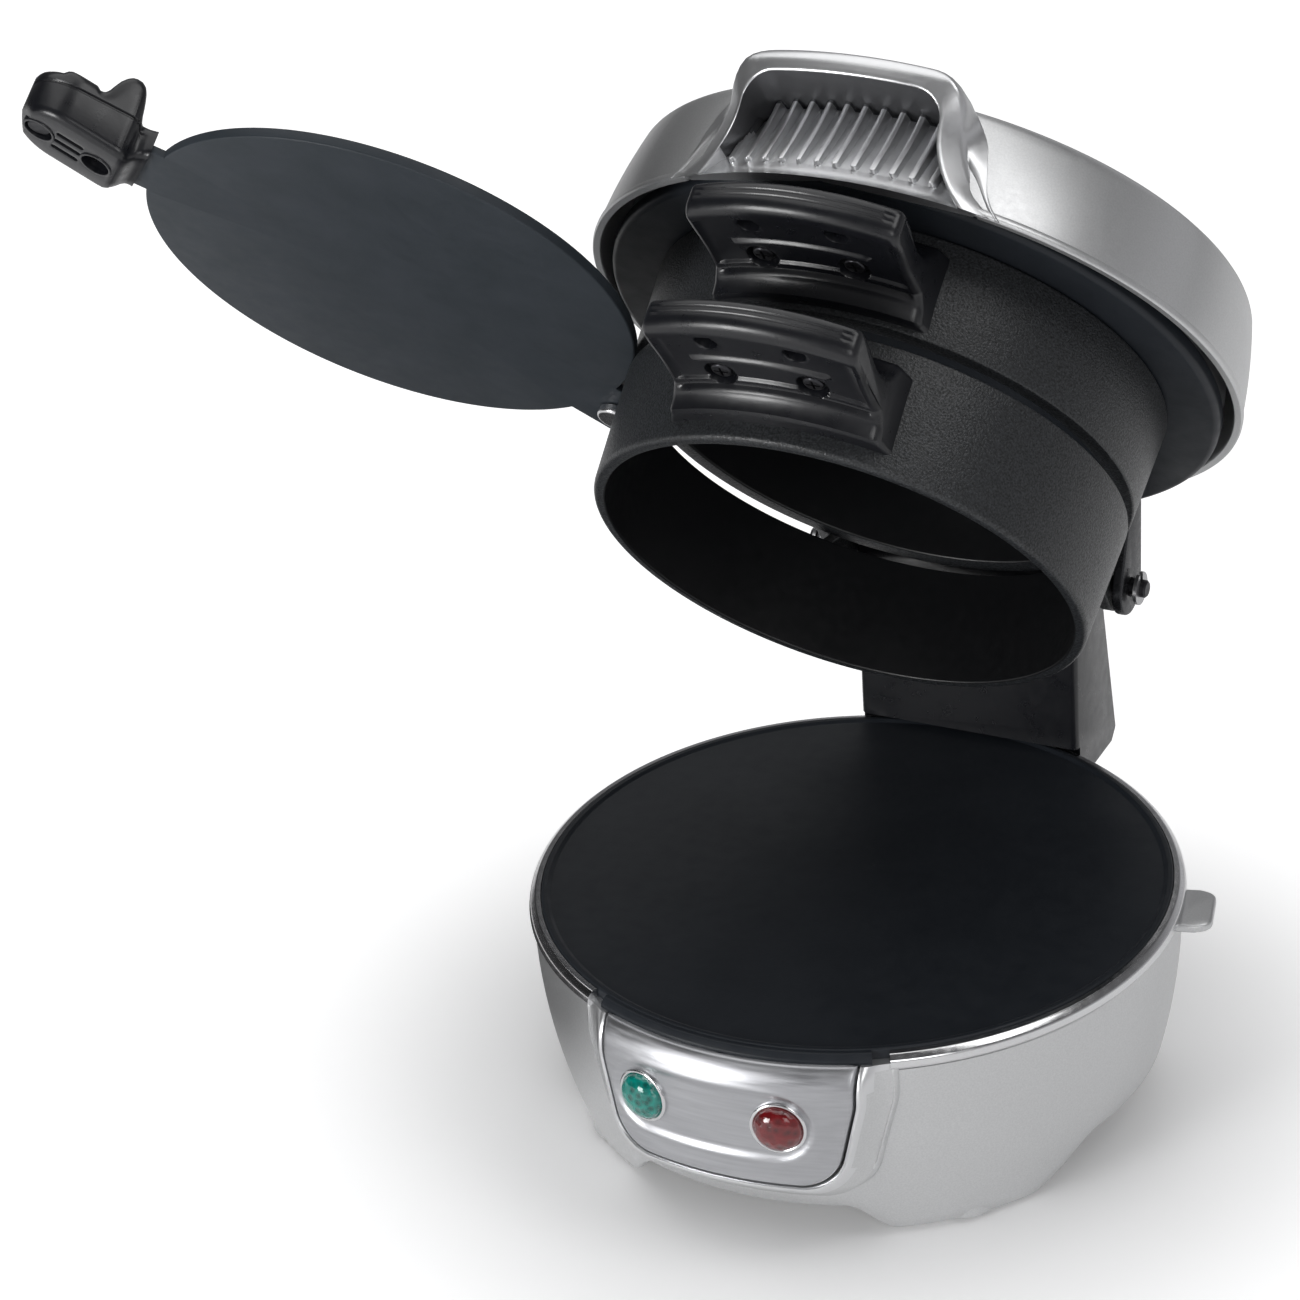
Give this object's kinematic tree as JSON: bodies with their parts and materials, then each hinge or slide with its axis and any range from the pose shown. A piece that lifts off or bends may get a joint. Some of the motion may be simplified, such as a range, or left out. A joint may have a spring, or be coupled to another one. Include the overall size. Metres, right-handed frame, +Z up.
{
  "type": "breakfast sandwich maker",
  "caption": "Round electric sandwich cooker, open: hinged rings with grip handles, a swivelling cooking plate between them, a domed hot cover and a heated base with indicator lamps.",
  "frame": {"origin": "centre of the base at table height, under the middle of the lower cooking surface", "axes": "+Z up, -Y towards the front with the control panel, +Y towards the hinge, +X to the right seen from the front"},
  "size_m": [0.2441, 0.1785, 0.2353],
  "materials": {
    "silver": "satin silver paint",
    "panel_silver": "finely brushed silver",
    "bright": "polished",
    "nonstick": "black non-stick coating",
    "crinkle": "black textured coating",
    "phenolic": "black moulded phenolic",
    "steel": "plain steel",
    "screw_steel": "blackened steel",
    "green_lens": "clear green jewel lens",
    "red_lens": "clear red jewel lens",
    "lamp": "neon lamp in a white holder",
    "rubber": "matt",
    "inner_plastic": "heat resistant plastic",
    "white_plastic": "ceramic white",
    "sheet_steel": "galvanised sheet",
    "wire": "glass fibre sleeve"
  },
  "bodies": {
    "base": {"base_housing": "silver", "base_rim_trim": "bright", "side_tab": "silver", "control_bezel": "silver", "control_panel": "panel_silver", "lens_rings": "bright", "ready_lens": "green_lens", "power_lens": "red_lens", "indicator_lamps": "lamp", "lower_hotplate": "nonstick", "hotplate_screws": "steel", "lower_heating_element": "steel", "lower_thermostat": "white_plastic", "thermal_fuse": "white_plastic", "heat_shield": "sheet_steel", "terminal_block": "white_plastic", "base_wiring": "wire", "bottom_cover": "inner_plastic", "bottom_cover_screws": "steel", "rubber_feet": "rubber", "cord_gland": "phenolic", "hinge_post": "phenolic", "hinge_post_screws": "steel", "hinge_pin": "steel", "pin_clips": "steel"},
    "lower_ring": {"bottom_ring": "crinkle", "bottom_ring_handle": "phenolic", "bottom_ring_handle_screws": "screw_steel"},
    "upper_ring": {"top_ring": "crinkle", "plate_pivot_pin": "bright", "top_ring_handle": "phenolic", "top_ring_handle_screws": "screw_steel"},
    "plate": {"cooking_plate": "nonstick", "plate_handle": "phenolic", "plate_handle_screws": "screw_steel"},
    "cover": {"upper_hotplate": "nonstick", "cover_liner": "sheet_steel", "upper_hotplate_screws": "steel", "cover_handle": "silver", "cover_shell": "silver", "cover_hinge_bracket": "steel", "cover_bracket_screws": "steel", "upper_heating_element": "steel", "upper_thermostat": "white_plastic", "cover_wiring": "wire"}
  },
  "joints": [
    {"name": "bottom_ring_hinge", "type": "hinge", "parent": "base", "child": "lower_ring", "pos_m": [0, 0.0731, 0.0907], "axis": [-1, 0, 0], "range_deg": [-54.5, 0]},
    {"name": "top_ring_hinge", "type": "hinge", "parent": "lower_ring", "child": "upper_ring", "pos_m": [0, 0.0731, 0.0907], "axis": [-1, 0, 0], "range_deg": [0, 40]},
    {"name": "cover_hinge", "type": "hinge", "parent": "upper_ring", "child": "cover", "pos_m": [0, 0.0731, 0.0907], "axis": [-1, 0, 0], "range_deg": [0, 45]},
    {"name": "plate_swivel", "type": "hinge", "parent": "upper_ring", "child": "plate", "pos_m": [-0.05997, 0.01997, 0.14504], "axis": [0, 0.8141, 0.5807], "range_deg": [0, 131]}
  ]
}
